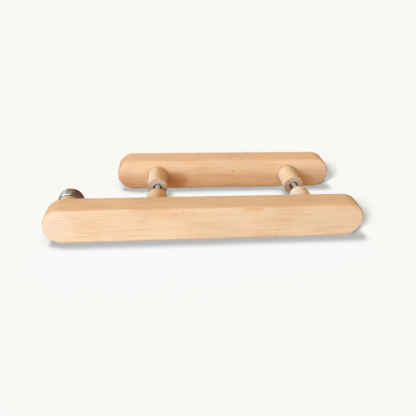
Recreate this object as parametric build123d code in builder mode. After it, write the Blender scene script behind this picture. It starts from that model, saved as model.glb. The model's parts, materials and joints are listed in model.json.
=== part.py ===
from build123d import *
import os

# Back-to-back pull handles for a glass door.
#
# Two wooden grip bars stand off the door on turned posts. The long handle carries two steel studs
# that pass through the glass. The short handle slides over the studs from the other side, and a set
# screw in each of its posts locks it there. The long bar runs on past the edge of the door, where a
# third, shorter post holds a pot magnet that meets a steel keeper disc on the door frame.
#
# Frame: X runs along the bars, Y through the door with the long handle at -Y, and Z up across the
# bars, which stand on their narrow edges. The origin is the centre of the base of the whole set.
# Everything on a post is placed by its depth into the handle, measured from the face that meets
# the door. Units are millimetres.

# ---- Driving dimensions ----

# Door
hole_spacing = 200.0
door_gap = 26.0
thinnest_door = 6.0

# Grip bars, with overhangs measured from the nearest stud to the bar's end
bar_height = 47.0
bar_thickness = 31.0
bar_edge_radius = 2.5
long_left_overhang = 136.0
right_overhang = 66.0
short_left_overhang = 60.0

# Turned posts, glued into the bars by a tenon
post_radius = 14.0
post_standoff = 38.0
post_chamfer = 0.5
tenon_radius = 9.0
tenon_length = 10.0
glue_gap = 0.05

# Soft pads between the posts and the glass
pad_radius = 13.7
pad_hole_radius = 6.05
pad_thickness = 1.0

# Steel studs, fixed in the long handle
stud_radius = 4.0
stud_reach = 20.0
stud_chamfer = 0.8
stud_clearance = 0.3
thread_gap = 0.05

# Brass inserts that anchor the studs in the long bar
insert_radius = 5.5
insert_length = 16.0
insert_chamfer = 0.6
stud_end_recess = 1.0

# Steel sockets that take the studs in the short handle
socket_radius = 6.0
socket_recess = 4.0
socket_running_gap = 0.05
socket_bottom_gap = 0.3
socket_chamfer = 0.5
tail_radius = 4.0
tail_length = 14.0
tail_point = 2.0

# Set screws, radial in the short posts and reached from below
set_screw_radius = 2.5
set_screw_length = 8.0
set_screw_depth = 13.0
set_screw_stand_off = 0.1
set_screw_wood_gap = 0.3
set_screw_chamfer = 0.5
hex_key_size = 2.5
hex_key_depth = 3.0

# Pot magnet on the short third post
cup_radius = 16.0
cup_length = 10.0
cup_wall = 2.0
cup_floor = 3.0
cup_edge_radius = 0.8
cup_groove_start = 5.6
cup_groove_width = 1.4
cup_groove_depth = 1.0
catch_end_offset = 1.0
pole_radius = 6.0
magnet_gap = 0.3
magnet_recess = 0.2

# Keeper disc, held on the magnet by its pull
keeper_thickness = 5.0
keeper_air_gap = 0.05
keeper_edge_radius = 0.8
keeper_hole_radius = 2.5
countersink_angle = 90.0

# Countersunk wood screw through the magnet cup and its post
screw_head_radius = 4.2
screw_head_recess = 0.3
screw_shank_radius = 2.2
screw_hole_gap = 0.15
screw_length = 56.0
screw_point = 6.0
drive_width = 1.3
drive_span = 4.6
drive_depth = 2.2

# ---- Places worked out from the driving dimensions ----

LONG_SIDE = -1
SHORT_SIDE = 1
long_length = long_left_overhang + hole_spacing + right_overhang
left_x = long_left_overhang - long_length / 2
right_x = left_x + hole_spacing
axis_z = bar_height / 2
catch_x = (bar_height - long_length) / 2 - catch_end_offset
catch_face = keeper_thickness + cup_length
tenon_end = post_standoff + tenon_length
closing_travel = door_gap - thinnest_door
insert_end = tenon_end + insert_length
socket_floor = stud_reach + closing_travel + socket_bottom_gap
tail_end = tenon_end + tail_length


# ---- Frames on a post ----


def door_face(x, side):
    """The plane where a post meets the door, centred on the post and facing into the handle."""
    return Plane(origin=(x, side * door_gap / 2, axis_z), x_dir=(1, 0, 0), z_dir=(0, side, 0))


def turning_plane(x, side):
    """The plane of a turned profile, whose points are (radius, depth into the handle)."""
    return Plane(origin=(x, side * door_gap / 2, axis_z), x_dir=(1, 0, 0), z_dir=(0, 0, side))


def post_axis(x, side):
    """The axis of a post, pointing into the handle."""
    return Axis((x, side * door_gap / 2, axis_z), (0, side, 0))


def bore(plane, start, end, radius):
    """Drill a round hole between two depths, inside the sub-part block that calls this."""
    with Locations(plane.offset(start)):
        Cylinder(radius, end - start, align=(Align.CENTER, Align.CENTER, Align.MIN), mode=Mode.SUBTRACT)


def save(part, name):
    """Label a finished sub-part and write its STEP file."""
    part.label = name
    export_step(part, f"parts/{name}.step")


# ---- Wooden pieces ----


def make_bar(side, left_overhang):
    """A grip bar: a plank with full-round ends, softened edges and a blind bore for each tenon."""
    length = left_overhang + hole_spacing + right_overhang
    middle_x = left_x - left_overhang + length / 2
    with BuildPart() as bar:
        with BuildSketch(door_face(middle_x, side).offset(post_standoff)):
            SlotOverall(length, bar_height)
        extrude(amount=bar_thickness)
        fillet(bar.faces().filter_by(Axis.Y).edges(), bar_edge_radius)
        for x in (left_x, right_x):
            bore(door_face(x, side), post_standoff, tenon_end + glue_gap, tenon_radius + glue_gap)
            if side == LONG_SIDE:
                bore(door_face(x, side), tenon_end, insert_end + glue_gap, insert_radius + glue_gap)
            else:
                bore(door_face(x, side), tenon_end, tail_end + glue_gap, tail_radius + glue_gap)
        if side == LONG_SIDE:
            catch_plane = door_face(catch_x, side)
            bore(catch_plane, post_standoff, tenon_end + glue_gap, tenon_radius + glue_gap)
            screw_end = keeper_thickness + screw_head_recess + screw_length
            bore(catch_plane, tenon_end, screw_end + glue_gap, screw_shank_radius + glue_gap)
    return bar.part


def make_post(x, side, start, hole_radius, has_set_screw=False):
    """A turned post from a start depth to the bar, with its tenon and a hole along its axis."""
    with BuildPart() as post:
        with BuildSketch(turning_plane(x, side)):
            with BuildLine():
                Polyline(
                    (hole_radius, start),
                    (post_radius - post_chamfer, start),
                    (post_radius, start + post_chamfer),
                    (post_radius, post_standoff),
                    (tenon_radius, post_standoff),
                    (tenon_radius, tenon_end),
                    (hole_radius, tenon_end),
                    close=True,
                )
            make_face()
        revolve(axis=post_axis(x, side))
        if has_set_screw:
            bore(set_screw_plane(x), 0, post_radius, set_screw_radius + set_screw_wood_gap)
    return post.part


# ---- Door pads ----


def make_pad(x, side):
    """A thin soft ring that keeps the end of a post off the glass."""
    with BuildPart() as pad:
        with BuildSketch(door_face(x, side)):
            Circle(pad_radius)
            Circle(pad_hole_radius, mode=Mode.SUBTRACT)
        extrude(amount=pad_thickness)
    return pad.part


# ---- Studs and what they fasten into ----


def make_stud(x):
    """A steel rod anchored in the long bar, reaching through the door into the short handle."""
    far_end = -door_gap - stud_reach
    near_end = insert_end - stud_end_recess
    with BuildPart() as stud:
        with BuildSketch(turning_plane(x, LONG_SIDE)):
            with BuildLine():
                Polyline(
                    (0, far_end),
                    (stud_radius - stud_chamfer, far_end),
                    (stud_radius, far_end + stud_chamfer),
                    (stud_radius, near_end - stud_chamfer),
                    (stud_radius - stud_chamfer, near_end),
                    (0, near_end),
                    close=True,
                )
            make_face()
        revolve(axis=post_axis(x, LONG_SIDE))
    return stud.part


def make_insert(x):
    """A brass insert screwed into the long bar beyond the tenon, threaded for the stud."""
    with BuildPart() as insert:
        with BuildSketch(door_face(x, LONG_SIDE).offset(tenon_end + glue_gap)):
            Circle(insert_radius)
            Circle(stud_radius + thread_gap, mode=Mode.SUBTRACT)
        extrude(amount=insert_length - glue_gap)
        rims = insert.edges().filter_by(GeomType.CIRCLE).group_by(SortBy.RADIUS)[-1]
        chamfer(rims, insert_chamfer)
    return insert.part


def make_socket(x):
    """A steel socket through the short post, with a blind bore for the stud and a tail in the bar."""
    bore_radius = stud_radius + socket_running_gap
    with BuildPart() as socket:
        with BuildSketch(turning_plane(x, SHORT_SIDE)):
            with BuildLine():
                Polyline(
                    (bore_radius + socket_chamfer, socket_recess),
                    (socket_radius, socket_recess),
                    (socket_radius, tenon_end),
                    (tail_radius, tenon_end),
                    (tail_radius, tail_end - tail_point),
                    (tail_radius - tail_point, tail_end),
                    (0, tail_end),
                    (0, socket_floor),
                    (bore_radius, socket_floor),
                    (bore_radius, socket_recess + socket_chamfer),
                    close=True,
                )
            make_face()
        revolve(axis=post_axis(x, SHORT_SIDE))
        bore(set_screw_plane(x), 0, socket_radius, set_screw_radius + thread_gap)
    return socket.part


# ---- Set screws ----


def set_screw_plane(x):
    """The plane through a short post's axis at the depth of its set screw, facing down."""
    origin = (x, door_gap / 2 + set_screw_depth, axis_z)
    return Plane(origin=origin, x_dir=(1, 0, 0), z_dir=(0, 0, -1))


def make_set_screw(x):
    """A headless screw with a hexagon socket, backed off the stud by a hair."""
    tip = stud_radius + set_screw_stand_off
    with BuildPart() as screw:
        with BuildSketch(set_screw_plane(x).offset(tip)):
            Circle(set_screw_radius)
        extrude(amount=set_screw_length)
        chamfer(screw.edges().filter_by(GeomType.CIRCLE), set_screw_chamfer)
        with BuildSketch(set_screw_plane(x).offset(tip + set_screw_length)):
            RegularPolygon(hex_key_size / 2, side_count=6, major_radius=False)
        extrude(amount=-hex_key_depth, mode=Mode.SUBTRACT)
    return screw.part


# ---- Magnetic catch ----


def make_cup():
    """The plated steel pot of the magnet: a groove round it, a central pole, and a countersunk hole."""
    front = keeper_thickness
    pocket_floor = catch_face - cup_floor
    hole_radius = screw_shank_radius + screw_hole_gap
    sink_radius = screw_head_radius + screw_hole_gap
    sink_end = front + screw_head_recess + sink_radius - hole_radius
    groove = front + cup_groove_start
    with BuildPart() as cup:
        with BuildSketch(turning_plane(catch_x, LONG_SIDE)):
            with BuildLine():
                Polyline(
                    (cup_radius - cup_wall, front),
                    (cup_radius, front),
                    (cup_radius, groove),
                    (cup_radius - cup_groove_depth, groove),
                    (cup_radius - cup_groove_depth, groove + cup_groove_width),
                    (cup_radius, groove + cup_groove_width),
                    (cup_radius, catch_face),
                    (hole_radius, catch_face),
                    (hole_radius, sink_end),
                    (sink_radius, front + screw_head_recess),
                    (sink_radius, front),
                    (pole_radius, front),
                    (pole_radius, pocket_floor),
                    (cup_radius - cup_wall, pocket_floor),
                    close=True,
                )
            make_face()
        revolve(axis=post_axis(catch_x, LONG_SIDE))
        outer_rims = cup.edges().filter_by(GeomType.CIRCLE).group_by(SortBy.RADIUS)[-1]
        fillet(outer_rims, cup_edge_radius)
    return cup.part


def make_magnet():
    """The ring magnet set in the cup around the pole, just below the rim."""
    start = keeper_thickness + magnet_recess
    with BuildPart() as magnet:
        with BuildSketch(door_face(catch_x, LONG_SIDE).offset(start)):
            Circle(cup_radius - cup_wall - magnet_gap)
            Circle(pole_radius + magnet_gap, mode=Mode.SUBTRACT)
        extrude(amount=catch_face - cup_floor - start)
    return magnet.part


def make_catch_screw():
    """The countersunk screw that holds the cup and its post to the long bar."""
    head = keeper_thickness + screw_head_recess
    neck = head + screw_head_radius - screw_shank_radius
    end = head + screw_length
    with BuildPart() as screw:
        with BuildSketch(turning_plane(catch_x, LONG_SIDE)):
            with BuildLine():
                Polyline(
                    (0, head),
                    (screw_head_radius, head),
                    (screw_shank_radius, neck),
                    (screw_shank_radius, end - screw_point),
                    (0, end),
                    close=True,
                )
            make_face()
        revolve(axis=post_axis(catch_x, LONG_SIDE))
        with BuildSketch(door_face(catch_x, LONG_SIDE).offset(head)):
            Rectangle(drive_span, drive_width)
            Rectangle(drive_width, drive_span)
        extrude(amount=drive_depth, mode=Mode.SUBTRACT)
    return screw.part


def make_keeper():
    """A steel disc for the door frame, countersunk on the magnet's side for its own screw."""
    thickness = keeper_thickness - keeper_air_gap
    sink_radius = screw_head_radius + screw_hole_gap
    with BuildPart() as keeper:
        with BuildSketch(door_face(catch_x, LONG_SIDE)):
            Circle(cup_radius)
        extrude(amount=thickness)
        fillet(keeper.edges().filter_by(GeomType.CIRCLE), keeper_edge_radius)
        with Locations(door_face(catch_x, LONG_SIDE).offset(thickness)):
            CounterSinkHole(keeper_hole_radius, sink_radius, thickness, countersink_angle)
    return keeper.part


# ---- Build and write every sub-part ----

os.makedirs("parts", exist_ok=True)

save(make_bar(LONG_SIDE, long_left_overhang), "long_bar")
save(make_bar(SHORT_SIDE, short_left_overhang), "short_bar")

for where, post_x in (("left", left_x), ("right", right_x)):
    save(make_post(post_x, LONG_SIDE, pad_thickness, stud_radius + stud_clearance), f"long_post_{where}")
    save(make_pad(post_x, LONG_SIDE), f"long_pad_{where}")
    save(make_insert(post_x), f"long_insert_{where}")
    save(make_stud(post_x), f"stud_{where}")
    save(
        make_post(post_x, SHORT_SIDE, pad_thickness, socket_radius + glue_gap, has_set_screw=True),
        f"short_post_{where}",
    )
    save(make_pad(post_x, SHORT_SIDE), f"short_pad_{where}")
    save(make_socket(post_x), f"short_socket_{where}")
    save(make_set_screw(post_x), f"set_screw_{where}")

save(make_post(catch_x, LONG_SIDE, catch_face, screw_shank_radius + screw_hole_gap), "catch_post")
save(make_cup(), "catch_cup")
save(make_magnet(), "catch_magnet")
save(make_catch_screw(), "catch_screw")
save(make_keeper(), "keeper_disc")
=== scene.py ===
import json
import math

import bmesh
import bpy
from mathutils import Matrix, Vector, noise

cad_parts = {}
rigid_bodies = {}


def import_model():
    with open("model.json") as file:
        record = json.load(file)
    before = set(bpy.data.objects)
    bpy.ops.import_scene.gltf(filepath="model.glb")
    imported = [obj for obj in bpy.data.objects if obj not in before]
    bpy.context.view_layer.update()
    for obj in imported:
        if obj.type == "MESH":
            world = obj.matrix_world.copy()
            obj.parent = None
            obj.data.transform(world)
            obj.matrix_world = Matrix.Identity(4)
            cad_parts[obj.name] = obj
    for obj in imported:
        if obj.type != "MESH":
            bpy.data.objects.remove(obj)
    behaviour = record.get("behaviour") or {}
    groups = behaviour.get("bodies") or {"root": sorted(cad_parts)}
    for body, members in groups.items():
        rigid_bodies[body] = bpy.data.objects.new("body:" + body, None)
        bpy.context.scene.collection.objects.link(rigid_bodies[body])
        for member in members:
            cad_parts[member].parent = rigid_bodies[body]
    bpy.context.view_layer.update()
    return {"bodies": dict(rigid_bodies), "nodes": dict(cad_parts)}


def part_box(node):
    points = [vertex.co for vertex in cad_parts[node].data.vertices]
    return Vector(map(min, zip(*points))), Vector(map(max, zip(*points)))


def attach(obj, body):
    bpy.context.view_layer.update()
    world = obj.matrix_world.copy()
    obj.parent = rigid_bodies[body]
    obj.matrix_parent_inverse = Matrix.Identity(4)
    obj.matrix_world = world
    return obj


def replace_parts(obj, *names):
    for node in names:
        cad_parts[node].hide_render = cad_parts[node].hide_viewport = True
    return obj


# A back-to-back pair of wooden door pulls on a pale floor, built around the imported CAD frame.
# Lengths are in metres. Places come from the CAD nodes' boxes, so each piece sits where the CAD says.

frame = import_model()

MM = 0.001

# Grip bars: how round each end quarter is (2 is a true arc) and how much the edges are softened
LONG_FULLNESS = ((2.0, 2.12), (2.20, 2.12))
SHORT_FULLNESS = ((2.2, 2.0), (2.08, 2.15))
EDGE_ROUNDING = 2.6 * MM
LONG_END_ROUNDING = (6.0 * MM, 3.8 * MM)
SHORT_END_ROUNDING = (6.0 * MM, 3.6 * MM)
ARC_STEPS = 28
STRAIGHT_STEPS = 110
EDGE_STEPS = 8
FACE_ROWS = 10
SIDE_ROWS = 6
SANDING_WAVES = (22, 60, 40)
SANDING_DEPTH = 0.006
SANDING_HEIGHT = 0.004

# Blind bores in the bars for the posts' tenons
TENON_RADIUS = 9.1 * MM
BORE_OVERSHOOT = 2.0 * MM
BORE_SIDES = 64

# Screw thread on the studs
THREAD_PITCH = 1.25 * MM
THREAD_DEPTH = 0.75 * MM
THREAD_SIDES = 36
STEPS_PER_TURN = 6
FLAT_SHARE = 0.12
FLANK_SHARE = 0.76
TIP_CHAMFER = 1.4

SMOOTH_ANGLE = math.radians(35)
BAR_SMOOTH_ANGLE = math.radians(50)


# ---------------------------------------------------------------------------------------------
# Places read from the frame
# ---------------------------------------------------------------------------------------------


def middle(node):
    """Centre of a CAD node's box."""
    low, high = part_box(node)
    return (low + high) / 2


AXIS_Z = middle("stud_left").z
BARE_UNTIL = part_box("long_pad_left")[0].y - 2.0 * MM
KEEPER_FRONT, KEEPER_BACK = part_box("keeper_disc")[0].y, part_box("keeper_disc")[1].y


# ---------------------------------------------------------------------------------------------
# Mesh building
# ---------------------------------------------------------------------------------------------


def bore_cutter(x, z, radius, start, end):
    """A round cutter along Y between two places."""
    bm = bmesh.new()
    place = Matrix.Translation((x, (start + end) / 2, z)) @ Matrix.Rotation(math.pi / 2, 4, "X")
    bmesh.ops.create_cone(bm, cap_ends=True, segments=BORE_SIDES, radius1=radius, radius2=radius,
                          depth=abs(end - start), matrix=place)
    mesh = bpy.data.meshes.new("cutter")
    bm.to_mesh(mesh)
    bm.free()
    cutter = bpy.data.objects.new("cutter", mesh)
    bpy.context.scene.collection.objects.link(cutter)
    return cutter


def drill(piece, bores):
    """Cut blind round bores along Y into a piece: each is x, z, radius and the Y of its two ends."""
    cutters = [bore_cutter(*bore) for bore in bores]
    for cutter in cutters:
        cut = piece.modifiers.new("bore", "BOOLEAN")
        cut.operation = "DIFFERENCE"
        cut.solver = "EXACT"
        cut.object = cutter
    view = bpy.context.evaluated_depsgraph_get()
    bored = bpy.data.meshes.new_from_object(piece.evaluated_get(view))
    piece.modifiers.clear()
    piece.data = bored
    for cutter in cutters:
        bpy.data.meshes.remove(cutter.data)


def finish_mesh(name, verts, faces, body, material, smooth_angle=SMOOTH_ANGLE, bores=()):
    """Turn points and faces into a smooth-shaded piece that rides on a CAD body."""
    mesh = bpy.data.meshes.new(name)
    mesh.from_pydata(verts, [], faces)
    mesh.validate()
    bm = bmesh.new()
    bm.from_mesh(mesh)
    bmesh.ops.recalc_face_normals(bm, faces=bm.faces)
    for face in bm.faces:
        face.smooth = True
    for edge in bm.edges:
        if len(edge.link_faces) == 2:
            edge.smooth = edge.calc_face_angle(0.0) < smooth_angle
    bm.to_mesh(mesh)
    bm.free()
    piece = bpy.data.objects.new(name, mesh)
    bpy.context.scene.collection.objects.link(piece)
    mesh.materials.append(material)
    if bores:
        drill(piece, bores)
    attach(piece, body)
    return piece


def thread_radius(y, angle, root, limit):
    """Radius at one point of the thread: a helix of straight-sided ridges with small flats."""
    turn = ((y - BARE_UNTIL) / THREAD_PITCH - angle / (2 * math.pi)) % 1.0
    ridge = min(1.0, max(0.0, (abs(2 * turn - 1) - FLAT_SHARE) / FLANK_SHARE))
    return min(limit, root + THREAD_DEPTH * ridge)


def threaded_rod(name, node, body, material):
    """A rod along Y: plain inside its post, then a screw thread to its far end."""
    low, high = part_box(node)
    centre = (low + high) / 2
    outer = (high.x - low.x) / 2
    root = outer - THREAD_DEPTH
    chamfer = THREAD_DEPTH * TIP_CHAMFER
    angles = [2 * math.pi * k / THREAD_SIDES for k in range(THREAD_SIDES)]
    verts, faces, rings = [], [], []

    def ring(y, radii):
        rings.append(range(len(verts), len(verts) + THREAD_SIDES))
        for angle, r in zip(angles, radii):
            verts.append((centre.x + r * math.cos(angle), y, centre.z + r * math.sin(angle)))

    ring(low.y, [root - chamfer] * THREAD_SIDES)
    ring(low.y + chamfer, [root] * THREAD_SIDES)
    count = round((high.y - BARE_UNTIL) / THREAD_PITCH * STEPS_PER_TURN)
    for k in range(count + 1):
        y = BARE_UNTIL + (high.y - BARE_UNTIL) * k / count
        limit = min(outer, root + (high.y - y) * THREAD_DEPTH / chamfer)
        ring(y, [thread_radius(y, angle, root, limit) for angle in angles])
    for ring_a, ring_b in zip(rings, rings[1:]):
        for k in range(THREAD_SIDES):
            n = (k + 1) % THREAD_SIDES
            faces.append((ring_a[k], ring_b[k], ring_b[n], ring_a[n]))
    faces.append(tuple(rings[0]))
    faces.append(tuple(reversed(rings[-1])))
    piece = finish_mesh(name, verts, faces, body, material)
    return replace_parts(piece, node)


# ---------------------------------------------------------------------------------------------
# Node trees
# ---------------------------------------------------------------------------------------------


def srgb(r, g, b):
    """A colour given in 0-255 display values, as linear light."""
    def linear(value):
        value /= 255
        return value / 12.92 if value <= 0.04045 else ((value + 0.055) / 1.055) ** 2.4

    return (linear(r), linear(g), linear(b), 1.0)


class Nodes:
    """A short way to write the node tree of a material or a world."""

    def __init__(self, owner, output_kind):
        owner.use_nodes = True
        self.owner = owner
        self.tree = owner.node_tree
        self.tree.nodes.clear()
        self.output = self.add(output_kind)

    def add(self, kind, inputs=None, **settings):
        made = self.tree.nodes.new("ShaderNode" + kind)
        for key, value in settings.items():
            setattr(made, key, value)
        for key, value in (inputs or {}).items():
            if isinstance(value, bpy.types.NodeSocket):
                self.tree.links.new(value, made.inputs[key])
            else:
                made.inputs[key].default_value = value
        return made

    def math(self, operation, a, b=0.0, clamp=False):
        return self.add("Math", {0: a, 1: b}, operation=operation, use_clamp=clamp).outputs[0]

    def vector(self, operation, a, b):
        return self.add("VectorMath", {0: a, 1: b}, operation=operation).outputs[0]

    def mix(self, factor, a, b, blend="MIX"):
        return self.add("Mix", {0: factor, 6: a, 7: b}, data_type="RGBA", blend_type=blend).outputs[2]

    def spread(self, value, start, end, low=0.0, high=1.0, smooth=False):
        """A value carried from start..end to low..high, and held at those ends."""
        kind = "SMOOTHSTEP" if smooth else "LINEAR"
        inputs = {0: value, 1: start, 2: end, 3: low, 4: high}
        return self.add("MapRange", inputs, interpolation_type=kind).outputs[0]

    def ramp(self, factor, stops):
        made = self.add("ValToRGB", {0: factor})
        elements = made.color_ramp.elements
        while len(elements) < len(stops):
            elements.new(0.5)
        for element, (place, colour) in zip(elements, stops):
            element.position = place
            element.color = colour
        return made.outputs[0]

    def parts(self, place):
        """The X, Y and Z of a vector."""
        return self.add("SeparateXYZ", {0: place}).outputs

    def shadow(self, distance, samples=8):
        """How closed in a point is: 0 in the open, 1 in a deep corner."""
        near = self.add("AmbientOcclusion", {"Distance": distance}, samples=samples).outputs["AO"]
        return self.math("SUBTRACT", 1.0, near, clamp=True)

    def finish(self, shader):
        self.tree.links.new(shader, self.output.inputs["Surface"])
        return self.owner


def material_nodes(name):
    return Nodes(bpy.data.materials.new(name), "OutputMaterial")


# ---------------------------------------------------------------------------------------------
# Wood
# ---------------------------------------------------------------------------------------------

# Noises in the wood: features per metre along and across the grain, and detail
BEND_NOISE = (5, 34, 2.0)
FIGURE_NOISE = (17, 30, 1.0)
DRIFT_NOISE = (14, 40, 3.0)
STREAK_NOISE = (7, 360, 5.0)
FIBRE_NOISE = (60, 2600, 2.0)
PATCH_NOISE = (24, 95, 3.0)
FLECK_NOISE = (260, 1900, 1.0)
PORE_NOISE = (900, 1500, 2.0)
SPECKS_PER_METRE = (26, 52)
# How far the growth rings and the streaks wander sideways
BEND_REACH = 12 * MM
FIGURE_REACH = 8 * MM
# What the wood's tone is made of, and where in it the three colours lie
RING_SHARE, DRIFT_SHARE, STREAK_SHARE, FIBRE_SHARE = 0.11, 0.62, 0.58, 0.06
PALE_STOP, MIDDLE_STOP, DEEP_STOP = 0.44, 0.70, 0.97
PATCH_AMOUNT, FLECK_AMOUNT, SPECK_AMOUNT = 0.75, 0.22, 0.5
PORE_AMOUNT, END_GRAIN_AMOUNT, CREVICE_AMOUNT = 0.5, 0.8, 0.9
CREVICE_REACH = 5 * MM
SMOOTHEST_WOOD, ROUGHEST_WOOD = 0.44, 0.58
WOOD_BUMP = 0.14
WOOD_SHEEN = 0.32
WARM_PATCH = (1.0, 0.89, 0.78, 1.0)
SPECK_BROWN = srgb(158, 98, 58)
# Painted light on upward faces: the tint they are mixed towards
PAINTED_TOP_LIGHT_TINT = (1.38, 1.10, 0.90, 1.0)
# Painted shade on the bars' long edges: its tint
PAINTED_EDGE_SHADE = (0.92, 0.87, 0.79, 1.0)
# Painted shade where pieces meet: its colour
CREVICE_SHADE_BROWN = (0.45, 0.30, 0.20, 1.0)


def grain_space(n, along, shift, tilt):
    """Object coordinates turned so that X runs with the grain, moved to this board's place in the log."""
    place = n.add("TexCoord").outputs["Object"]
    if along == "Y":
        parts = n.parts(place)
        place = n.add("CombineXYZ", {0: parts[1], 1: parts[0], 2: parts[2]}).outputs[0]
    return n.add("Mapping", {0: place, 1: shift, 2: tilt}).outputs[0]


def stretched(n, place, along, across):
    """Grain coordinates scaled separately along and across the grain, per metre."""
    return n.add("Mapping", {0: place, 3: (along, across, across)}).outputs[0]


def grain(n, place, kind):
    """One of the wood's noises, drawn out along the grain."""
    along, across, detail = kind
    vector = stretched(n, place, along, across)
    return n.add("TexNoise", {"Vector": vector, "Scale": 1.0, "Detail": detail}).outputs


def wavy(n, place, kind, reach):
    """Grain coordinates pushed sideways by a slow noise."""
    push = n.vector("SUBTRACT", grain(n, place, kind)["Color"], (0.5, 0.5, 0.5))
    push = n.vector("MULTIPLY", push, (0.0, reach, reach))
    return n.vector("ADD", place, push)


def growth_tone(n, place, streak, fibre, ring_gap):
    """How dark the wood is: growth rings cut by the surface, slow drifts, streaks and fibres."""
    rings = n.add(
        "TexWave",
        {"Vector": wavy(n, place, BEND_NOISE, BEND_REACH), "Scale": math.pi / (10 * ring_gap),
         "Distortion": 1.8, "Detail": 2.0, "Detail Scale": 0.6},
        wave_type="RINGS", rings_direction="X", wave_profile="SAW",
    ).outputs["Fac"]
    drift = grain(n, place, DRIFT_NOISE)["Fac"]
    tone = n.math("MULTIPLY", rings, RING_SHARE)
    tone = n.math("ADD", tone, n.math("MULTIPLY", drift, DRIFT_SHARE))
    tone = n.math("ADD", tone, n.math("MULTIPLY", streak, STREAK_SHARE))
    return n.math("ADD", tone, n.math("MULTIPLY", fibre, FIBRE_SHARE))


def blemished(n, place, colour, deep):
    """Broad warm patches, short dark flecks and a few small brown specks."""
    patch = n.spread(grain(n, place, PATCH_NOISE)["Fac"], 0.50, 0.72)
    colour = n.mix(n.math("MULTIPLY", patch, PATCH_AMOUNT), colour, WARM_PATCH, "MULTIPLY")
    fleck = n.spread(grain(n, place, FLECK_NOISE)["Fac"], 0.66, 0.80)
    colour = n.mix(n.math("MULTIPLY", fleck, FLECK_AMOUNT), colour, deep)
    vector = stretched(n, place, *SPECKS_PER_METRE)
    gap = n.add("TexVoronoi", {"Vector": vector, "Scale": 1.0}).outputs["Distance"]
    speck = n.spread(gap, 0.045, 0.02)
    return n.mix(n.math("MULTIPLY", speck, SPECK_AMOUNT), colour, SPECK_BROWN)


def spot(n, parts, centre_x, centre_z, half_length, half_height):
    """Mask of one soft oval mark at a given place along and up a bar, in millimetres."""
    along = n.math("DIVIDE", n.math("SUBTRACT", parts[0], centre_x * MM), half_length * MM)
    up = n.math("DIVIDE", n.math("SUBTRACT", parts[2], centre_z * MM), half_height * MM)
    reach = n.math("ADD", n.math("MULTIPLY", along, along), n.math("MULTIPLY", up, up))
    return n.spread(reach, 1.4, 0.3, smooth=True)


def marked_and_painted(n, colour, facing, marks_and_painted_light):
    """The board's own marks and painted light and shade, on its near face only."""
    parts = n.parts(n.add("TexCoord").outputs["Object"])
    near_face = n.math("MULTIPLY", facing[1], -1.4, clamp=True)
    for centre_x, centre_z, half_length, half_height, strength, tint in marks_and_painted_light:
        mask = n.math("MULTIPLY", near_face, spot(n, parts, centre_x, centre_z, half_length, half_height))
        colour = n.mix(n.math("MULTIPLY", mask, strength), colour, tint, "MULTIPLY")
    return colour


def end_grained(n, place, colour, facing, along, deep, end_tint):
    """Darker, porous wood where the surface cuts across the grain."""
    across = n.math("ABSOLUTE", facing[0 if along == "X" else 1])
    end_grain = n.math("POWER", across, 1.6, clamp=True)
    pores = grain(n, place, PORE_NOISE)["Fac"]
    end_colour = n.mix(n.math("MULTIPLY", pores, PORE_AMOUNT), end_tint, deep)
    return n.mix(n.math("MULTIPLY", end_grain, END_GRAIN_AMOUNT), colour, end_colour)


def painted_top_light(n, colour, facing, amount):
    """Painted light: upward faces made paler, as light from above makes them."""
    upward = n.math("POWER", n.math("MAXIMUM", facing[2], 0.0), 5.0)
    return n.mix(n.math("MULTIPLY", upward, amount), colour, PAINTED_TOP_LIGHT_TINT)


def painted_edge_shade(n, colour, facing):
    """Painted shade: long edges darkened a little, dimming their highlights."""
    corner = n.math("ABSOLUTE", n.math("MULTIPLY", facing[1], facing[2]))
    return n.mix(n.spread(corner, 0.12, 0.5, smooth=True), colour, PAINTED_EDGE_SHADE, "MULTIPLY")


def painted_crevice_shade(n, colour):
    """Painted shade: wood darkened to brown where pieces meet and the surface is closed in."""
    crevice = n.math("POWER", n.shadow(CREVICE_REACH), 1.4)
    amount = n.math("MULTIPLY", crevice, CREVICE_AMOUNT, clamp=True)
    return n.mix(amount, colour, CREVICE_SHADE_BROWN, "MULTIPLY")


def wood(name, along, shift, tilt, tones, ring_gap, end_tint, marks_and_painted_light=(), painted_top_light_amount=0.0):
    """Pale close-grained wood; tones are its pale, middle and deep colours."""
    pale, mid, deep = tones
    n = material_nodes(name)
    place = grain_space(n, along, shift, tilt)
    facing = n.parts(n.add("TexCoord").outputs["Normal"])
    streak = grain(n, wavy(n, place, FIGURE_NOISE, FIGURE_REACH), STREAK_NOISE)["Fac"]
    fibre = grain(n, place, FIBRE_NOISE)["Fac"]
    tone = growth_tone(n, place, streak, fibre, ring_gap)
    colour = n.ramp(tone, [(PALE_STOP, pale), (MIDDLE_STOP, mid), (DEEP_STOP, deep)])
    colour = blemished(n, place, colour, deep)
    colour = marked_and_painted(n, colour, facing, marks_and_painted_light)
    colour = end_grained(n, place, colour, facing, along, deep, end_tint)
    # Painted light: paler upward faces
    if painted_top_light_amount:
        colour = painted_top_light(n, colour, facing, painted_top_light_amount)
    # Painted shade on the long edges of the bars
    if along == "X":
        colour = painted_edge_shade(n, colour, facing)
    # Painted shade where pieces meet
    colour = painted_crevice_shade(n, colour)
    rough = n.spread(streak, 0.3, 0.7, SMOOTHEST_WOOD, ROUGHEST_WOOD)
    height = n.math("ADD", n.math("MULTIPLY", fibre, 0.6), n.math("MULTIPLY", streak, 0.5))
    bump = n.add("Bump", {"Height": height, "Strength": WOOD_BUMP, "Distance": 0.2 * MM}).outputs[0]
    shader = n.add("BsdfPrincipled", {
        "Base Color": colour, "Roughness": rough, "Normal": bump, "Specular IOR Level": WOOD_SHEEN})
    return n.finish(shader.outputs[0])


DARK_SPECK = (0.55, 0.34, 0.22, 1.0)
RUSTY = (0.90, 0.70, 0.50, 1.0)
SEAM = (0.92, 0.76, 0.66, 1.0)
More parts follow.
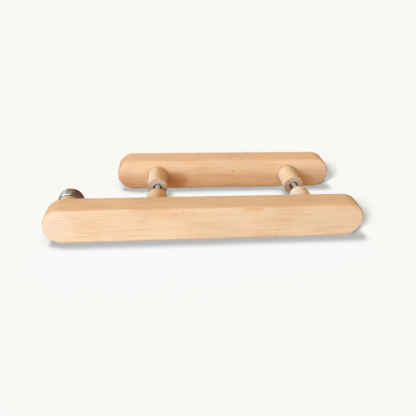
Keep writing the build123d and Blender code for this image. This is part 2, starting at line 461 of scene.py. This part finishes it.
# Painted highlight for the long bar's left end
PAINTED_LEFT_END_HIGHLIGHT = (1.0, 1.09, 1.27, 1.0)
# Painted light for the long bar's lower front
PAINTED_LOW_FRONT_LIGHT = (1.04, 1.07, 1.10, 1.0)
# Painted light for the short bar's lower face
PAINTED_SHORT_LOW_LIGHT = (1.10, 1.15, 1.17, 1.0)
# Painted light for the short bar's left part
PAINTED_SHORT_LEFT_LIGHT = (1.03, 1.07, 1.12, 1.0)
# Painted shade for the long bar's top ridge
PAINTED_LONG_RIDGE_SHADE = (1.0, 0.92, 0.83, 1.0)
# Painted shade for the short bar's top ridge
PAINTED_SHORT_RIDGE_SHADE = (0.97, 0.93, 0.87, 1.0)
KNOT = (0.75, 0.48, 0.32, 1.0)
# Painted shadow of the short bar's left post
PAINTED_LEFT_POST_SHADOW = (0.80, 0.62, 0.46, 1.0)
# Painted shadow of the short bar's right post
PAINTED_RIGHT_POST_SHADOW = (0.88, 0.76, 0.62, 1.0)
# Marks on the near face: place along the bar, height, half length, half height (mm), strength and tint.
# The specks, seams, knot and rusty streaks are the wood's own; the rest are painted light and shade.
LONG_MARKS_AND_PAINTED_LIGHT = (
    (-30.5, 44.3, 1.1, 0.9, 0.9, DARK_SPECK),
    (55.0, 44.6, 14.0, 2.2, 0.55, RUSTY),
    (89.2, 9.0, 0.9, 9.0, 0.75, SEAM),
    (110.0, 35.0, 22.0, 1.2, 0.35, RUSTY),
    (158.0, 12.0, 26.0, 5.0, 0.30, SEAM),
    (-6.0, 27.0, 20.0, 1.6, 0.30, SEAM),
    (-82.0, 30.0, 8.0, 2.6, 0.30, SEAM),
    # Painted highlight on the long bar's left end
    (-188.0, 26.0, 26.0, 26.0, 0.9, PAINTED_LEFT_END_HIGHLIGHT),
    # Painted light along the long bar's lower front
    (0.0, 7.0, 210.0, 10.0, 0.8, PAINTED_LOW_FRONT_LIGHT),
    # Painted shade on the long bar's top ridge, dimming its highlight
    (135.0, 44.5, 55.0, 4.0, 0.9, PAINTED_LONG_RIDGE_SHADE),
)
SHORT_MARKS_AND_PAINTED_LIGHT = (
    (49.6, 29.0, 3.4, 1.2, 0.75, KNOT),
    (20.0, 22.0, 40.0, 3.0, 0.25, RUSTY),
    (-20.0, 12.0, 34.0, 4.0, 0.30, RUSTY),
    (-105.0, 20.0, 10.0, 7.0, 0.30, SEAM),
    # Painted shadow cast by the left post on the short bar
    (-36.0, 15.0, 17.0, 14.0, 0.85, PAINTED_LEFT_POST_SHADOW),
    # Painted light on the short bar's left part
    (-96.0, 20.0, 16.0, 18.0, 1.0, PAINTED_SHORT_LEFT_LIGHT),
    # Painted shade on the short bar's top ridge, dimming its highlight
    (30.0, 45.0, 100.0, 4.0, 0.9, PAINTED_SHORT_RIDGE_SHADE),
    # Painted shadow cast by the right post on the short bar
    (164.0, 12.0, 18.0, 12.0, 0.55, PAINTED_RIGHT_POST_SHADOW),
    # Painted light along the short bar's lower face
    (30.0, 6.0, 110.0, 12.0, 1.0, PAINTED_SHORT_LOW_LIGHT),
)
# How much painted light the short bar's upward faces get
SHORT_PAINTED_TOP_LIGHT = 0.13

LONG_WOOD = wood("long_bar_wood", "X", (0.03, 0.055, 0.004), (0.0, 0.012, 0.022),
                 (srgb(241, 214, 187), srgb(235, 204, 172), srgb(221, 182, 143)),
                 3.4 * MM, srgb(216, 174, 136), LONG_MARKS_AND_PAINTED_LIGHT)
SHORT_WOOD = wood("short_bar_wood", "X", (0.41, -0.047, 0.016), (0.0, -0.016, 0.018),
                  (srgb(243, 213, 184), srgb(238, 205, 172), srgb(223, 182, 142)),
                  3.8 * MM, srgb(212, 168, 130), SHORT_MARKS_AND_PAINTED_LIGHT, SHORT_PAINTED_TOP_LIGHT)
POST_WOOD = wood("post_wood", "Y", (0.2, 0.03, 0.02), (0.0, 0.02, 0.01),
                 (srgb(242, 220, 191), srgb(234, 208, 175), srgb(214, 178, 139)),
                 3.0 * MM, srgb(200, 160, 122))
# Painted light: a paler copy of the post wood for the long handle's right post, which stands lit
PAINTED_LIT_POST_WOOD = wood("painted_lit_post_wood", "Y", (0.7, -0.04, 0.03), (0.0, -0.02, 0.01),
                      (srgb(251, 251, 243), srgb(246, 242, 226), srgb(232, 218, 194)),
                      3.4 * MM, srgb(206, 174, 138))
# Painted light: a lighter copy of the post wood for the short handle's right post
PAINTED_BRIGHTER_POST_WOOD = wood("painted_brighter_post_wood", "Y", (0.2, 0.03, 0.02), (0.0, 0.02, 0.01),
                       (srgb(249, 229, 202), srgb(241, 217, 186), srgb(221, 187, 149)),
                       3.0 * MM, srgb(200, 160, 122))


# ---------------------------------------------------------------------------------------------
# Metal, felt and ceramic
# ---------------------------------------------------------------------------------------------

# Painted grey shade on metal rims: its colour
RIM_SHADE_GREY = (0.16, 0.165, 0.16, 1.0)
# Painted shade in metal seams: its colour
SEAM_SHADE_BLACK = (0.05, 0.035, 0.03, 1.0)


def metal(name, colour, rough, grain_scale, grain_amount, bump_amount, seam_shade_reach=0.0, shaded_rims=()):
    """Plated or turned steel: fine turning lines round the post axis, slight smudges, painted grey shade
    at the given rims and painted shade darkening the seams to black.
    """
    n = material_nodes(name)
    place = n.add("TexCoord").outputs["Object"]
    turning = n.add("Mapping", {0: place, 3: (6, grain_scale, 6)}).outputs[0]
    lines = n.add("TexNoise", {"Vector": turning, "Scale": 1.0, "Detail": 2.0}).outputs["Fac"]
    smudge = n.add("TexNoise", {"Vector": place, "Scale": 160.0, "Detail": 4.0}).outputs["Fac"]
    darker = (colour[0] * 0.8, colour[1] * 0.8, colour[2] * 0.8, 1.0)
    tint = n.mix(n.math("MULTIPLY", lines, grain_amount), colour, darker)
    along = n.parts(place)[1]
    # Painted grey shade at the given rims
    for rim, half_width in shaded_rims:
        reach = n.math("ABSOLUTE", n.math("SUBTRACT", along, rim))
        tint = n.mix(n.spread(reach, half_width, half_width * 0.4, high=0.8), tint, RIM_SHADE_GREY)
    # Painted shade: seams darkened towards black
    if seam_shade_reach:
        seam_shade = n.math("MULTIPLY", n.shadow(seam_shade_reach), 2.4, clamp=True)
        tint = n.mix(seam_shade, tint, SEAM_SHADE_BLACK)
    value = n.math("ADD", n.math("MULTIPLY", smudge, 0.12), rough - 0.06)
    bump = n.add("Bump", {"Height": lines, "Strength": bump_amount, "Distance": 0.05 * MM}).outputs[0]
    shader = n.add("BsdfPrincipled", {
        "Base Color": tint, "Metallic": 1.0, "Roughness": value, "Normal": bump})
    return n.finish(shader.outputs[0])


def felt(name, colour, dark):
    """A thin fibre pad: matt, mottled, with a fuzzy surface."""
    n = material_nodes(name)
    place = n.add("TexCoord").outputs["Object"]
    mottle = n.add("TexNoise", {
        "Vector": place, "Scale": 420.0, "Detail": 5.0, "Roughness": 0.65}).outputs["Fac"]
    fuzz = n.add("TexNoise", {"Vector": place, "Scale": 3200.0, "Detail": 2.0}).outputs["Fac"]
    tint = n.ramp(mottle, [(0.32, dark), (0.62, colour)])
    bump = n.add("Bump", {"Height": fuzz, "Strength": 0.6, "Distance": 0.2 * MM}).outputs[0]
    shader = n.add("BsdfPrincipled", {
        "Base Color": tint, "Roughness": 0.92, "Normal": bump, "Specular IOR Level": 0.2})
    return n.finish(shader.outputs[0])


def ceramic(name, dark, light):
    """Dark sintered ferrite with a slightly sparkling, chalky surface."""
    n = material_nodes(name)
    place = n.add("TexCoord").outputs["Object"]
    grit = n.add("TexNoise", {"Vector": place, "Scale": 2400.0, "Detail": 3.0}).outputs["Fac"]
    cloud = n.add("TexNoise", {"Vector": place, "Scale": 180.0, "Detail": 3.0}).outputs["Fac"]
    tint = n.ramp(cloud, [(0.3, dark), (0.7, light)])
    rough = n.spread(grit, 0.0, 1.0, 0.45, 0.7)
    bump = n.add("Bump", {"Height": grit, "Strength": 0.3, "Distance": 0.1 * MM}).outputs[0]
    shader = n.add("BsdfPrincipled", {"Base Color": tint, "Roughness": rough, "Normal": bump})
    return n.finish(shader.outputs[0])


# Where painted grey shade goes on the chrome: near the keeper's back rim and at its front rim, with half
# widths
SHADED_RIMS = ((KEEPER_BACK - 0.5 * MM, 0.9 * MM), (KEEPER_FRONT, 0.8 * MM))
CHROME = metal("chrome_plate", srgb(222, 221, 218), 0.10, 60, 0.2, 0.05, 2.2 * MM, SHADED_RIMS)
STEEL = metal("ground_steel", srgb(240, 241, 241), 0.14, 2600, 0.3, 0.10)
ZINC = metal("zinc_steel", srgb(170, 173, 176), 0.34, 1400, 0.6, 0.25)
BLACK = metal("black_oxide_steel", srgb(46, 46, 49), 0.42, 1400, 0.5, 0.25)
BRASS = metal("turned_brass", srgb(196, 160, 96), 0.30, 1600, 0.5, 0.2)
FELT = felt("grey_brown_felt", srgb(225, 209, 196), srgb(188, 166, 150))
FERRITE = ceramic("dark_ferrite", srgb(48, 47, 50), srgb(72, 71, 74))


# ---------------------------------------------------------------------------------------------
# Grip bars
# ---------------------------------------------------------------------------------------------


def end_quarter(centre_x, radius, side_x, side_z, fullness, angles):
    """Points (x, z, normal x, normal z) of one quarter of a bar's end."""
    made = []
    for angle in angles:
        c, s = math.cos(angle), math.sin(angle)
        x = centre_x + side_x * radius * c ** (2 / fullness)
        z = AXIS_Z + side_z * radius * s ** (2 / fullness)
        normal = Vector((side_x * c ** (2 - 2 / fullness), side_z * s ** (2 - 2 / fullness)))
        normal.normalize()
        made.append((x, z, normal.x, normal.y))
    return made


def bar_outline(low, high, left_fullness, right_fullness):
    """A bar's upper and lower outline as (x, z, normal x, normal z), clockwise from the left end's middle.

    Each end is a half round whose quarters are pushed out or in a little: fullness 2 is a true arc.
    """
    radius = (high.z - low.z) / 2
    left, right = low.x + radius, high.x - radius
    up = [math.pi / 2 * k / ARC_STEPS for k in range(ARC_STEPS + 1)]
    down = up[::-1]
    span = right - left
    top = [(left + span * k / STRAIGHT_STEPS, high.z, 0.0, 1.0) for k in range(1, STRAIGHT_STEPS)]
    bottom = [(x, low.z, 0.0, -1.0) for x, _, _, _ in reversed(top)]
    upper = end_quarter(left, radius, -1, 1, left_fullness[0], up) + top
    upper += end_quarter(right, radius, 1, 1, right_fullness[0], down)
    lower = end_quarter(right, radius, 1, -1, right_fullness[1], up[1:]) + bottom
    lower += end_quarter(left, radius, -1, -1, left_fullness[1], down[:-1])
    return upper, lower


def edge_radius(nx, nz, end_rounding):
    """Edge rounding: growing round the upper part of each end, plain elsewhere."""
    ease = min(1.0, abs(nx) * 1.25) * min(1.0, max(0.0, (nz + 0.25) / 0.65))
    most = end_rounding[0] if nx < 0 else end_rounding[1]
    return EDGE_ROUNDING + (most - EDGE_ROUNDING) * ease * ease * (3 - 2 * ease)


def cap(verts, faces, edge, upper_count):
    """Fill a flat face with strips that run between its upper and lower outline."""
    total = len(edge)
    tops = edge[:upper_count]
    bottoms = [edge[0]] + [edge[total - i] for i in range(1, upper_count - 1)] + [edge[upper_count - 1]]
    grid = []
    for top_index, bottom_index in zip(tops, bottoms):
        if top_index == bottom_index:
            grid.append([top_index] * (FACE_ROWS + 1))
            continue
        top, bottom = Vector(verts[top_index]), Vector(verts[bottom_index])
        line = [top_index]
        for j in range(1, FACE_ROWS):
            line.append(len(verts))
            verts.append(list(top.lerp(bottom, j / FACE_ROWS)))
        line.append(bottom_index)
        grid.append(line)
    for a, b in zip(grid, grid[1:]):
        for j in range(FACE_ROWS):
            corners = list(dict.fromkeys([a[j], b[j], b[j + 1], a[j + 1]]))
            if len(corners) >= 3:
                faces.append(tuple(corners))


def sand(verts, middle_y, seed):
    """Faint unevenness from hand sanding."""
    for v in verts:
        place = Vector((v[0] * SANDING_WAVES[0] + seed, v[1] * SANDING_WAVES[1], v[2] * SANDING_WAVES[2]))
        wave = noise.noise(place)
        v[1] += (v[1] - middle_y) * SANDING_DEPTH * wave
        v[2] += (v[2] - AXIS_Z) * SANDING_HEIGHT * wave if v[2] > AXIS_Z else 0.0


def edge_ring(verts, outline, end_rounding, step, edge_y, inward):
    """One loop round a bar's edge: step 0 lies in the flat face, step 1 is at full size."""
    angle = math.pi / 2 * step
    made = []
    for x, z, nx, nz in outline:
        r = edge_radius(nx, nz, end_rounding)
        inset = r * (1 - math.sin(angle))
        made.append(len(verts))
        verts.append([x - nx * inset, edge_y + inward * r * (1 - math.cos(angle)), z - nz * inset])
    return made


def side_ring(verts, ring_a, ring_b, share):
    """One loop round a bar's side, part of the way from one ring to another."""
    made = []
    for a, b in zip(ring_a, ring_b):
        made.append(len(verts))
        verts.append(list(Vector(verts[a]).lerp(Vector(verts[b]), share)))
    return made


def bar(name, node, body, material, fullness, end_rounding, seed, bores):
    """A plank with full-round ends, softened edges and blind bores for its posts."""
    low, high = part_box(node)
    upper, lower = bar_outline(low, high, *fullness)
    outline = upper + lower
    total = len(outline)
    verts, faces = [], []
    steps = [k / EDGE_STEPS for k in range(EDGE_STEPS + 1)]
    front = [edge_ring(verts, outline, end_rounding, step, low.y, 1.0) for step in steps]
    back = [edge_ring(verts, outline, end_rounding, 1 - step, high.y, -1.0) for step in steps]
    shares = [k / SIDE_ROWS for k in range(1, SIDE_ROWS)]
    sides = [side_ring(verts, front[-1], back[0], share) for share in shares]
    rings = front + sides + back
    for a, b in zip(rings, rings[1:]):
        for k in range(total):
            n = (k + 1) % total
            faces.append((a[k], a[n], b[n], b[k]))
    cap(verts, faces, rings[0], len(upper))
    cap(verts, faces, rings[-1], len(upper))
    sand(verts, (low.y + high.y) / 2, seed)
    piece = finish_mesh(name, verts, faces, body, material, BAR_SMOOTH_ANGLE, bores)
    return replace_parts(piece, node)


def tenon_bores(posts, face_y):
    """The blind bores in a bar for its posts' tenons, from the bar's inner face to the tenons' ends."""
    bores = []
    for post in posts:
        low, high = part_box(post)
        tip = high.y if face_y > 0 else low.y
        mouth = face_y - math.copysign(BORE_OVERSHOOT, face_y)
        bores.append((middle(post).x, AXIS_Z, TENON_RADIUS, mouth, tip))
    return bores


LONG_BORES = tenon_bores(("long_post_left", "long_post_right", "catch_post"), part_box("long_bar")[1].y)
SHORT_BORES = tenon_bores(("short_post_left", "short_post_right"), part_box("short_bar")[0].y)
LONG_BAR = bar("long_grip_bar", "long_bar", "long_handle", LONG_WOOD, LONG_FULLNESS,
               LONG_END_ROUNDING, 3.0, LONG_BORES)
SHORT_BAR = bar("short_grip_bar", "short_bar", "short_handle", SHORT_WOOD, SHORT_FULLNESS,
                SHORT_END_ROUNDING, 17.0, SHORT_BORES)
BARS = (LONG_BAR, SHORT_BAR)
# The bright metal mirrors the room, not the short bar beside it.
SHORT_BAR.visible_glossy = False

threaded_rod("left_threaded_stud", "stud_left", "long_handle", STEEL)
RIGHT_STUD = threaded_rod("right_threaded_stud", "stud_right", "long_handle", STEEL)


# ---------------------------------------------------------------------------------------------
# CAD nodes that keep their own shape
# ---------------------------------------------------------------------------------------------

KEPT = (
    (BRASS, "brass", ("long_insert_left", "long_insert_right")),
    (POST_WOOD, "post_wood", ("long_post_left", "short_post_left", "catch_post")),
    (PAINTED_LIT_POST_WOOD, "post_wood", ("long_post_right",)),
    (PAINTED_BRIGHTER_POST_WOOD, "post_wood", ("short_post_right",)),
    (FELT, "pad_felt", ("long_pad_left", "long_pad_right", "short_pad_left", "short_pad_right")),
    (ZINC, "zinc_steel", ("short_socket_left", "short_socket_right", "catch_screw")),
    (BLACK, "black_steel", ("set_screw_left", "set_screw_right")),
    (CHROME, "chrome", ("catch_cup", "keeper_disc")),
    (FERRITE, "ferrite", ("catch_magnet",)),
)


def dress(node_name, material):
    """Give a CAD node its material."""
    node = frame["nodes"][node_name]
    node.data.materials.clear()
    node.data.materials.append(material)


for kept_material, kept_slot, kept_names in KEPT:
    for kept_name in kept_names:
        dress(kept_name, kept_material)


# ---------------------------------------------------------------------------------------------
# Floor
# ---------------------------------------------------------------------------------------------

FILL_COLOUR = (1.0, 0.590, 0.240)
FILL_STRENGTH = 0.69
FLOOR_REACH = 14.0
FLOOR_ALBEDO = 0.10
FLOOR_TINT = (1.0, 0.998, 0.97)
FLOOR_GLOW = 0.03
# Painted light: extra glow where the floor is deeply closed in
DEEP_SHADE_GLOW = 0.34
GLOW_COLOUR = (1.0, 1.0, 0.985, 1.0)
# Painted shade on the floor near the pieces: how far it reaches and its tint
CONTACT_REACH = 16 * MM
CONTACT_SHADE = (0.70, 0.68, 0.64, 1.0)
BOUNCE_COLOUR = (1.0, 0.58, 0.29, 1.0)
BOUNCE_STRENGTH = 0.43
# The floor as the chrome sees it, from left to right
MIRRORED_FLOOR = (
    (0.16, (0.60, 0.61, 0.60, 1.0)),
    (0.26, (0.28, 0.28, 0.26, 1.0)),
    (0.55, (0.20, 0.16, 0.11, 1.0)),
    (0.80, (0.17, 0.065, 0.035, 1.0)),
)
MIRRORED_LEFT, MIRRORED_RIGHT = -0.26, -0.14


def floor_material():
    """Pale paper for the camera with painted shade near the pieces and a painted glow under overhangs, a
    warm glow for bounced light, and toned bands in reflections.
    """
    n = material_nodes("floor_paper")
    contact = n.shadow(CONTACT_REACH, samples=12)
    # Painted light: the floor glows brighter where it is deeply closed in, under overhangs
    painted_shade_glow = n.spread(contact, 0.50, 0.90, FLOOR_GLOW, DEEP_SHADE_GLOW)
    glow = n.add("Emission", {"Color": GLOW_COLOUR, "Strength": painted_shade_glow}).outputs[0]
    paper = [FLOOR_ALBEDO / part * tint for part, tint in zip(FILL_COLOUR, FLOOR_TINT)] + [1.0]
    # Painted shade: the paper darkened near the pieces
    skin = n.add("BsdfDiffuse", {"Color": n.mix(contact, paper, CONTACT_SHADE, "MULTIPLY")}).outputs[0]
    seen = n.add("AddShader", {0: glow, 1: skin}).outputs[0]
    unseen = n.add("Emission", {"Color": BOUNCE_COLOUR, "Strength": BOUNCE_STRENGTH}).outputs[0]
    place_x = n.parts(n.add("TexCoord").outputs["Object"])[0]
    bands = n.ramp(n.spread(place_x, MIRRORED_LEFT, MIRRORED_RIGHT), MIRRORED_FLOOR)
    mirrored = n.add("Emission", {"Color": bands, "Strength": 1.0}).outputs[0]
    path = n.add("LightPath").outputs
    indirect = n.add("MixShader", {0: path["Is Glossy Ray"], 1: unseen, 2: mirrored}).outputs[0]
    choice = n.add("MixShader", {0: path["Is Camera Ray"], 1: indirect, 2: seen}).outputs[0]
    return n.finish(choice)


def make_floor():
    """A wide pale floor that shows soft shadows."""
    r = FLOOR_REACH
    mesh = bpy.data.meshes.new("pale_floor")
    mesh.from_pydata([(-r, -r, 0), (r, -r, 0), (r, r, 0), (-r, r, 0)], [], [(0, 1, 2, 3)])
    mesh.materials.append(floor_material())
    floor = bpy.data.objects.new("pale_floor", mesh)
    bpy.context.scene.collection.objects.link(floor)
    return floor


FLOOR = make_floor()


# ---------------------------------------------------------------------------------------------
# Lights
# ---------------------------------------------------------------------------------------------

KEY_COLOUR = (0.838, 0.937, 1.0)
SIDE_COLOUR = (0.30, 0.70, 1.0)
FRONT_COLOUR = (0.20, 0.72, 1.0)
TOP_COLOUR = (0.34, 0.74, 1.0)
# Softboxes: place from the object's middle, width, height, watts and colour
KEY_BOX = ((-0.72, -1.20, 0.40), 0.95, 0.50, 15.0, KEY_COLOUR)
SIDE_BOX = ((-1.35, -0.10, 0.38), 0.60, 0.40, 14.0, SIDE_COLOUR)
FRONT_BOX = ((0.35, -1.40, 0.25), 0.90, 0.36, 5.3, FRONT_COLOUR)
TOP_BOX = ((-0.30, 0.15, 1.40), 0.80, 0.60, 4.7, TOP_COLOUR)
# Suns: direction, strength and angle across in degrees
FRONT_SUN = ((0.30, -0.26, -1.0), 14.26, 15)
RIGHT_SUN = ((1.08, 1.22, -1.0), 25.4, 12)
REFLECTOR_SIZE = 10.0 * MM
REFLECTOR_PLACE = Vector((2.5 * MM, 14.0 * MM, 9.0 * MM))
LONG_REFLECTOR_POWER = 0.0028
SHORT_REFLECTOR_POWER = 0.0030


def add_light(name, kind, energy, colour):
    data = bpy.data.lights.new(name, kind)
    data.energy = energy
    data.color = colour
    light = bpy.data.objects.new(name, data)
    bpy.context.scene.collection.objects.link(light)
    return light


def link_light(light, state, pieces):
    """Let a light fall only on the given pieces (INCLUDE), or on all but those (EXCLUDE)."""
    receivers = bpy.data.collections.new(light.name + "_receivers")
    light.light_linking.receiver_collection = receivers
    for piece in pieces:
        receivers.objects.link(piece)
    for link in receivers.collection_objects:
        link.light_linking.link_state = state


def aim(light, direction):
    """Turn a light to shine along a direction."""
    light.rotation_euler = direction.to_track_quat("-Z", "Y").to_euler()


def softbox(name, box, state, pieces):
    """A rectangular soft light aimed at the object, linked to some pieces as link_light says."""
    offset, width, height, energy, colour = box
    light = add_light(name, "AREA", energy, colour)
    light.data.shape = "RECTANGLE"
    light.data.size, light.data.size_y = width, height
    target = Vector((0.0, 0.0, AXIS_Z))
    light.location = target + Vector(offset)
    aim(light, target - light.location)
    link_light(light, state, pieces)


def floor_sun(name, sun, blockers):
    """A soft sun that only draws shadows on the floor: of a few pieces, or of all if none are given."""
    direction, energy, spread = sun
    light = add_light(name, "SUN", energy, FILL_COLOUR)
    light.data.angle = math.radians(spread)
    aim(light, Vector(direction))
    link_light(light, "INCLUDE", (FLOOR,))
    if blockers:
        light.light_linking.blocker_collection = bpy.data.collections.new(name + "_blockers")
        for piece in blockers:
            light.light_linking.blocker_collection.objects.link(piece)


def reflector(name, bar_node, body, energy):
    """A small weak light, moving with a bar, that keeps the crossed shadows at its right end open."""
    low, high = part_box(bar_node)
    light = add_light(name, "AREA", energy, FILL_COLOUR)
    light.data.shape = "DISK"
    light.data.size = REFLECTOR_SIZE
    light.data.use_shadow = False
    light.location = Vector((high.x, low.y, 0.0)) + REFLECTOR_PLACE
    light.parent = frame["bodies"][body]
    link_light(light, "INCLUDE", (FLOOR,))


def make_lights():
    """Cool window light from the front left, a panel at the left end, and suns for the floor shadow."""
    side_spared = (FLOOR, *BARS, RIGHT_STUD, frame["nodes"]["catch_cup"], frame["nodes"]["keeper_disc"])
    softbox("key_softbox", KEY_BOX, "EXCLUDE", (FLOOR, RIGHT_STUD))
    softbox("side_softbox", SIDE_BOX, "EXCLUDE", side_spared)
    softbox("front_softbox", FRONT_BOX, "EXCLUDE", (FLOOR,))
    softbox("top_softbox", TOP_BOX, "INCLUDE", BARS)
    floor_sun("front_shadow_sun", FRONT_SUN, ())
    reflector("long_bounce", "long_bar", "long_handle", LONG_REFLECTOR_POWER)
    reflector("short_bounce", "short_bar", "short_handle", SHORT_REFLECTOR_POWER)
    floor_sun("right_shadow_sun", RIGHT_SUN, BARS)


# ---------------------------------------------------------------------------------------------
# Surroundings
# ---------------------------------------------------------------------------------------------

# What shiny pieces see of the room, from left to right: a bright window, then warm wooden walls
WALLS = (
    (0.08, (1.0, 1.0, 0.98, 1.0)),
    (0.20, (0.44, 0.28, 0.17, 1.0)),
    (0.36, (0.50, 0.33, 0.21, 1.0)),
    (0.66, (0.34, 0.15, 0.08, 1.0)),
    (1.0, (0.20, 0.06, 0.03, 1.0)),
)
WALLS_LEFT, WALLS_RIGHT = -0.60, 0.40
# and overhead: a pale ceiling lamp
CEILING = (
    (0.12, (0.20, 0.20, 0.20, 1.0)),
    (0.30, (0.95, 0.97, 0.98, 1.0)),
    (0.45, (0.90, 0.93, 0.94, 1.0)),
    (0.62, (0.30, 0.35, 0.36, 1.0)),
    (0.85, (0.10, 0.11, 0.11, 1.0)),
)
CEILING_HALF_WIDTH = 0.60
CEILING_START, CEILING_FULL = 0.62, 0.80
FRONT_WALL = (0.40, 0.42, 0.41, 1.0)
BACK_WALL_START, BACK_WALL_FULL = 0.10, 0.45
LEFT_FILL, RIGHT_FILL = 1.3, 0.6
BACKDROP = (0.94, 0.94, 0.92, 1.0)


def make_world():
    """Pale studio surroundings; shiny pieces see a warm, darker room with a bright window in it."""
    n = Nodes(bpy.data.worlds.new("studio"), "OutputWorld")
    path = n.add("LightPath").outputs
    x, y, z = n.parts(n.add("TexCoord").outputs["Generated"])
    back_wall = n.ramp(n.spread(x, WALLS_LEFT, WALLS_RIGHT), WALLS)
    walls = n.mix(n.spread(y, BACK_WALL_START, BACK_WALL_FULL), FRONT_WALL, back_wall)
    ceiling = n.ramp(n.spread(x, -CEILING_HALF_WIDTH, CEILING_HALF_WIDTH), CEILING)
    room = n.mix(n.spread(z, CEILING_START, CEILING_FULL), walls, ceiling)
    shiny = n.add("Background", {"Color": room, "Strength": 1.0}).outputs[0]
    falloff = n.spread(x, -1.0, 1.0, LEFT_FILL * FILL_STRENGTH, RIGHT_FILL * FILL_STRENGTH)
    plain = n.add("Background", {"Color": (*FILL_COLOUR, 1.0), "Strength": falloff}).outputs[0]
    pale = n.add("Background", {"Color": BACKDROP, "Strength": 1.0}).outputs[0]
    unseen = n.add("MixShader", {0: path["Is Glossy Ray"], 1: plain, 2: shiny}).outputs[0]
    choice = n.add("MixShader", {0: path["Is Camera Ray"], 1: unseen, 2: pale}).outputs[0]
    bpy.context.scene.world = n.finish(choice)


# ---------------------------------------------------------------------------------------------
# Camera
# ---------------------------------------------------------------------------------------------

CAMERA_PLACE = (-0.0440, -0.4662, 0.2946)
CAMERA_YAW = math.radians(-6.30)
CAMERA_PITCH = math.radians(32.55)
CAMERA_ROLL = math.radians(2.17)
SENSOR_WIDTH = 36.0
FOCAL_LENGTH = 32.88


def make_camera():
    """The view from above the long bar, slightly left of the middle."""
    data = bpy.data.cameras.new("camera")
    data.sensor_width = SENSOR_WIDTH
    data.lens = FOCAL_LENGTH
    camera = bpy.data.objects.new("camera", data)
    level, drop = math.cos(CAMERA_PITCH), math.sin(CAMERA_PITCH)
    forward = Vector((-math.sin(CAMERA_YAW) * level, math.cos(CAMERA_YAW) * level, -drop))
    right = Vector((math.cos(CAMERA_YAW), math.sin(CAMERA_YAW), 0.0))
    up = right.cross(forward)
    tilted_right = right * math.cos(CAMERA_ROLL) + up * math.sin(CAMERA_ROLL)
    tilted_up = up * math.cos(CAMERA_ROLL) - right * math.sin(CAMERA_ROLL)
    turn = Matrix((tilted_right, tilted_up, -forward)).transposed()
    camera.matrix_world = Matrix.Translation(CAMERA_PLACE) @ turn.to_4x4()
    bpy.context.scene.collection.objects.link(camera)
    bpy.context.scene.camera = camera


make_lights()
make_world()
make_camera()
bpy.context.scene.view_settings.view_transform = "Standard"
